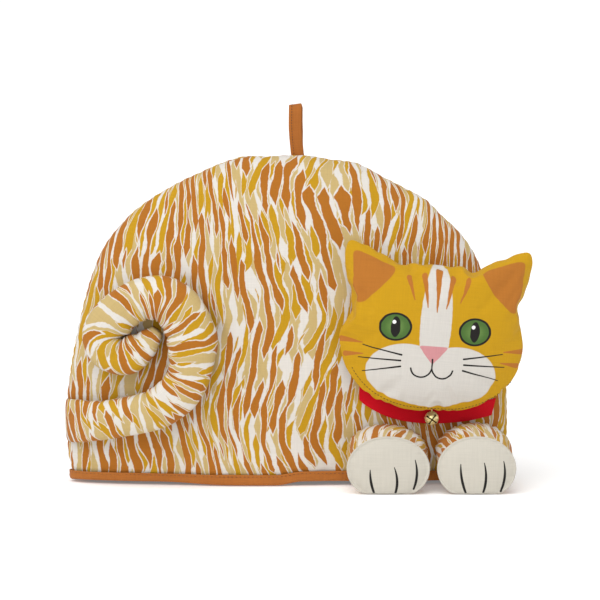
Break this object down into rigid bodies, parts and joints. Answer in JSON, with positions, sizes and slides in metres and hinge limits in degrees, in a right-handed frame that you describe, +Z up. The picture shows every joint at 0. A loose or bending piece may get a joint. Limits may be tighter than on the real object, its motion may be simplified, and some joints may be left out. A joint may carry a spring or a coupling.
{
  "type": "tea cosy",
  "caption": "Padded fabric tea cosy shaped like a sitting cat: hollow dome open at the hem, with stuffed head, tail and paws, a collar with a bell and a hanging loop.",
  "frame": {"origin": "on the surface it stands on, under the middle of the bounding box", "axes": "+Z up, the cat faces -Y, +X to the right seen from the front"},
  "size_m": [0.3658, 0.1078, 0.2989],
  "materials": {
    "printed_cotton": "printed woven cotton, striped in rust, mustard and tan on off-white",
    "rust_cotton": "plain woven cotton binding and tape",
    "face_cotton": "woven cotton in mustard with a white muzzle and printed features",
    "cream_cotton": "plain woven cotton",
    "red_felt": "flat felt band",
    "gold_metal": "polished thin sheet"
  },
  "bodies": {
    "root": {"body_front": "printed_cotton", "body_back": "printed_cotton", "hem_binding": "rust_cotton", "hanging_loop": "rust_cotton", "tail": "printed_cotton", "head": "face_cotton", "collar": "red_felt", "bell": "gold_metal", "paw_left": "printed_cotton", "paw_right": "printed_cotton", "paw_front_left": "cream_cotton", "paw_front_right": "cream_cotton"}
  },
  "joints": []
}
